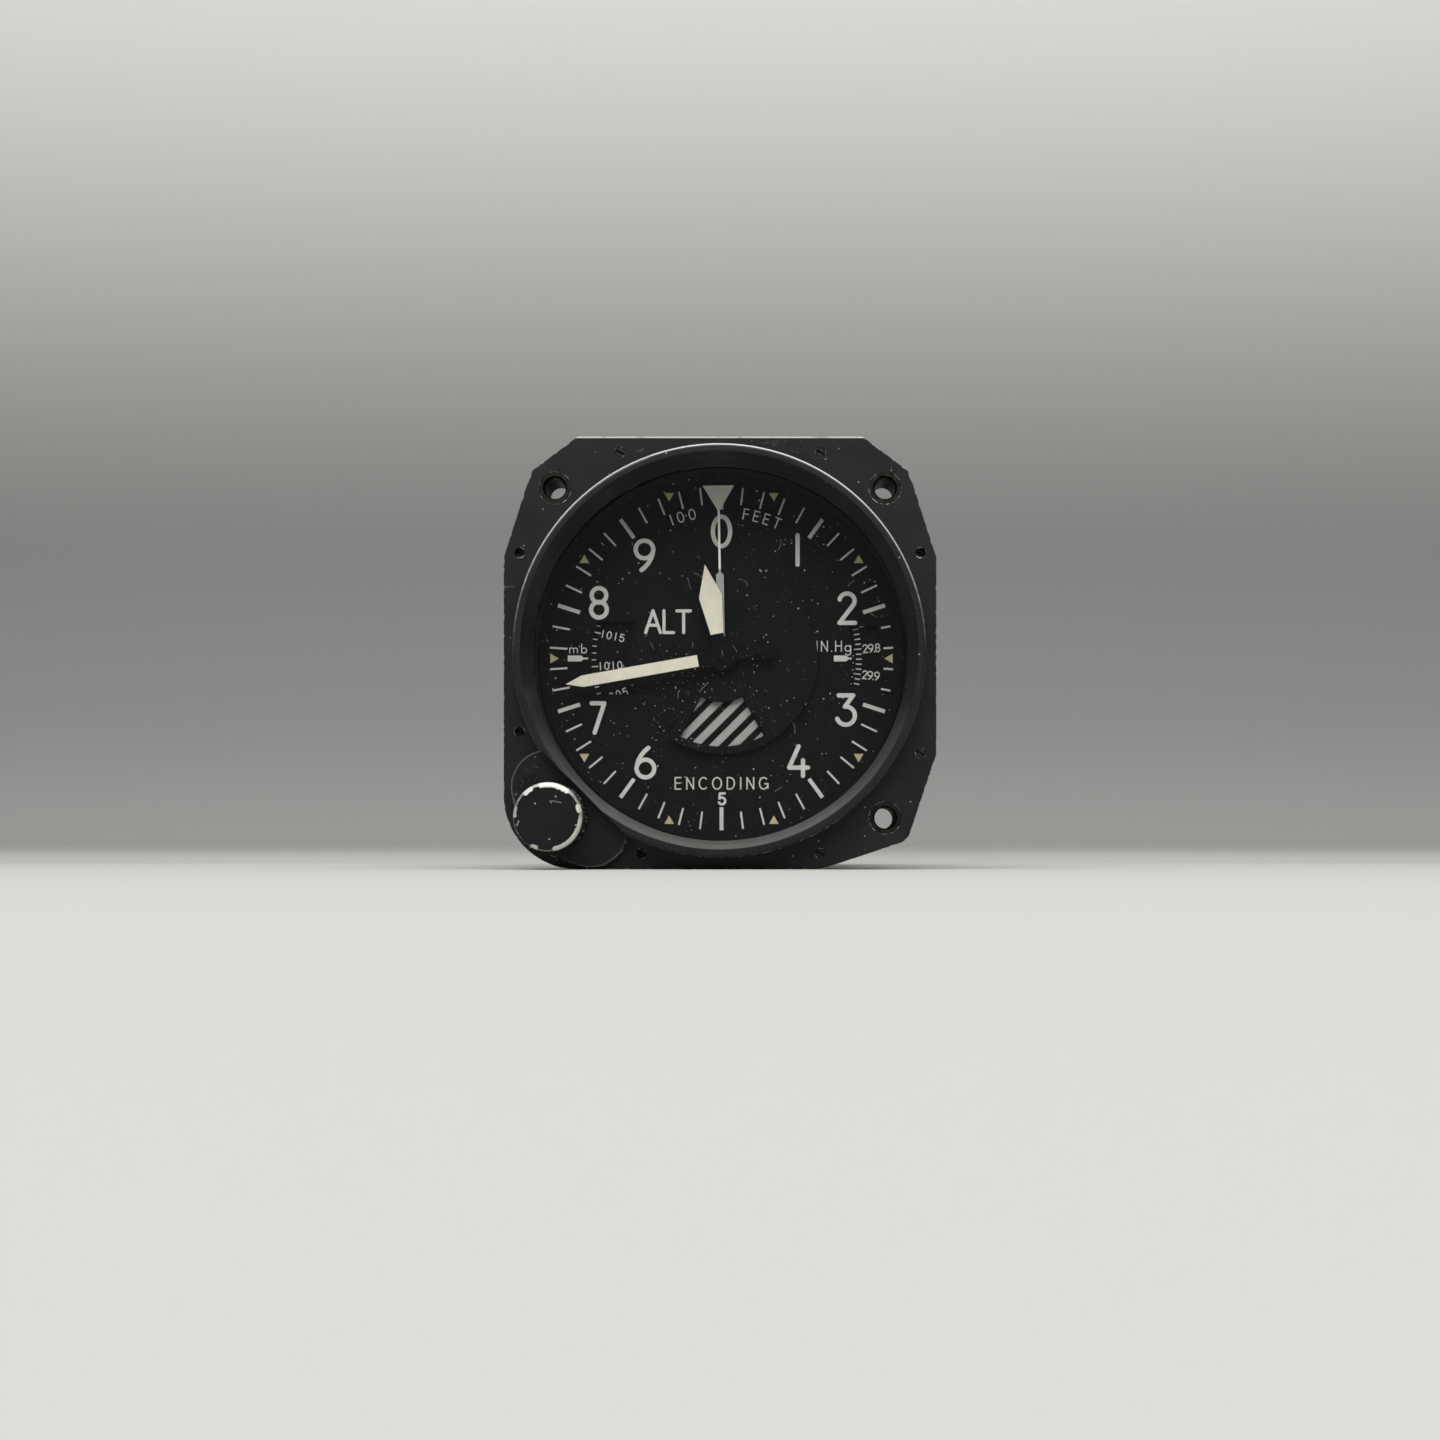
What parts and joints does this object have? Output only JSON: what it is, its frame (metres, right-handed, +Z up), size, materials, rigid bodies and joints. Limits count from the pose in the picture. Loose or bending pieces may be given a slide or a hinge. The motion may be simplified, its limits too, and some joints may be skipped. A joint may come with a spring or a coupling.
{
  "type": "aircraft altimeter",
  "caption": "Round-dial panel altimeter with concentric pointers, pressure scale windows, a setting knob, a square front flange and a long cylindrical case.",
  "frame": {"origin": "on the dial axis, in the flange's front face that meets the panel", "axes": "+Y to the rear along the dial axis, +Z up and +X right as the dial is read"},
  "size_m": [0.0824, 0.1796, 0.0824],
  "materials": {
    "bezel_paint": "satin black paint, worn at the edges",
    "case_paint": "black anodised, satin",
    "glass": "clear, polished",
    "gasket_rubber": "matte",
    "steel": "turned",
    "brass": "turned and cut",
    "aluminium": "machined",
    "dial_paint": "matte black",
    "print": "printed, matte",
    "pointer_paint": "matte off-white, black towards the hub",
    "knob_paint": "black, worn to metal round the rim",
    "dark_plastic": "moulded",
    "board": "green laminate"
  },
  "bodies": {
    "case": {"front_bezel": "bezel_paint", "case_body": "case_paint", "cover_glass": "glass", "bezel_gasket": "gasket_rubber", "glass_gasket": "gasket_rubber", "panel_inserts": "steel", "bezel_screws": "steel", "dial_screws": "steel", "mechanism_screws": "steel", "connector_shell": "steel", "jack_posts": "steel", "aneroid_capsules": "brass", "connector_pins": "brass", "glass_retainer": "aluminium", "baro_hub": "aluminium", "front_plate": "aluminium", "rear_plate": "aluminium", "plate_pillars": "aluminium", "long_pillars": "aluminium", "capsule_bracket": "aluminium", "encoder_plate": "aluminium", "encoder_bridge": "aluminium", "board_standoffs": "aluminium", "static_port": "aluminium", "dial_plate": "dial_paint", "dial_marks": "print", "low_altitude_stripes": "print", "encoder_head": "dark_plastic", "board_chips": "dark_plastic", "connector_insulator": "dark_plastic", "encoder_board": "board"},
    "knob": {"setting_knob": "knob_paint", "knob_set_screw": "steel", "knob_shaft": "brass", "knob_clip": "steel"},
    "baro_scale": {"baro_ring_gear": "brass", "baro_disc": "dial_paint"},
    "hundreds": {"hundreds_pointer": "pointer_paint", "hundreds_arbor": "steel"},
    "thousands": {"thousands_pointer": "pointer_paint", "thousands_sleeve": "brass", "thousands_wheel": "brass"},
    "ten_thousands": {"ten_thousands_pointer": "pointer_paint", "ten_thousands_shade": "dial_paint", "ten_thousands_sleeve": "brass", "ten_thousands_wheel": "brass"},
    "first_lay": {"first_lay_shaft": "steel", "first_lay_wheel": "brass"},
    "second_lay": {"second_lay_shaft": "steel", "second_lay_wheel": "brass"},
    "centre": {"centre_arbor": "steel", "centre_wheel": "brass"},
    "rocking": {"rocking_shaft": "steel", "sector_gear": "brass", "rocking_arm": "steel"},
    "capsule_head": {"capsule_link": "steel"},
    "encoder": {"encoder_shaft": "steel", "encoder_wheel": "brass", "encoder_disc": "dark_plastic"}
  },
  "joints": [
    {"name": "knob_turn", "type": "hinge", "parent": "case", "child": "knob", "pos_m": [-0.03143, 0, -0.03143], "axis": [0, 1, 0], "range_deg": [-1253.8, 835.9]},
    {"name": "baro_turn", "type": "hinge", "parent": "case", "child": "baro_scale", "pos_m": [0, 0, 0], "axis": [0, 1, 0], "range_deg": [-120.66, 180.97]},
    {"name": "hundreds_turn", "type": "hinge", "parent": "case", "child": "hundreds", "pos_m": [0, 0, 0], "axis": [0, 1, 0], "range_deg": [-260, 7300]},
    {"name": "thousands_turn", "type": "hinge", "parent": "case", "child": "thousands", "pos_m": [0, 0, 0], "axis": [0, 1, 0], "range_deg": [-26.01, 730.01]},
    {"name": "ten_thousands_turn", "type": "hinge", "parent": "case", "child": "ten_thousands", "pos_m": [0, 0, 0], "axis": [0, 1, 0], "range_deg": [-2.61, 73.01]},
    {"name": "first_lay_turn", "type": "hinge", "parent": "case", "child": "first_lay", "pos_m": [0.0104, 0, 0], "axis": [0, 1, 0], "range_deg": [-2190.01, 78.01]},
    {"name": "second_lay_turn", "type": "hinge", "parent": "case", "child": "second_lay", "pos_m": [-0.0104, 0, 0], "axis": [0, 1, 0], "range_deg": [-219.01, 7.81]},
    {"name": "centre_turn", "type": "hinge", "parent": "case", "child": "centre", "pos_m": [0, 0, 0.0168], "axis": [0, 1, 0], "range_deg": [-876.01, 31.21]},
    {"name": "rocking_turn", "type": "hinge", "parent": "case", "child": "rocking", "pos_m": [0.00502, 0, -0.0082], "axis": [0, 1, 0], "range_deg": [-1.96, 54.76]},
    {"name": "capsule_rise", "type": "slide", "parent": "case", "child": "capsule_head", "axis": [0, 0, 1], "range_m": [-0.00016, 0.00459], "deforming": ["aneroid_capsules"]},
    {"name": "encoder_turn", "type": "hinge", "parent": "case", "child": "encoder", "pos_m": [0, 0, 0], "axis": [0, 1, 0], "range_deg": [-10.41, 292.01]}
  ],
  "couplings": [
    {"joint": "baro_turn", "follows": "knob_turn", "ratio": -0.14433},
    {"joint": "thousands_turn", "follows": "hundreds_turn", "ratio": 0.1},
    {"joint": "ten_thousands_turn", "follows": "hundreds_turn", "ratio": 0.01},
    {"joint": "first_lay_turn", "follows": "hundreds_turn", "ratio": -0.3},
    {"joint": "second_lay_turn", "follows": "hundreds_turn", "ratio": -0.03},
    {"joint": "centre_turn", "follows": "hundreds_turn", "ratio": -0.12},
    {"joint": "rocking_turn", "follows": "hundreds_turn", "ratio": 0.0075},
    {"joint": "capsule_rise", "follows": "hundreds_turn", "m_per_rad": 0.000035985},
    {"joint": "encoder_turn", "follows": "hundreds_turn", "ratio": 0.04}
  ]
}
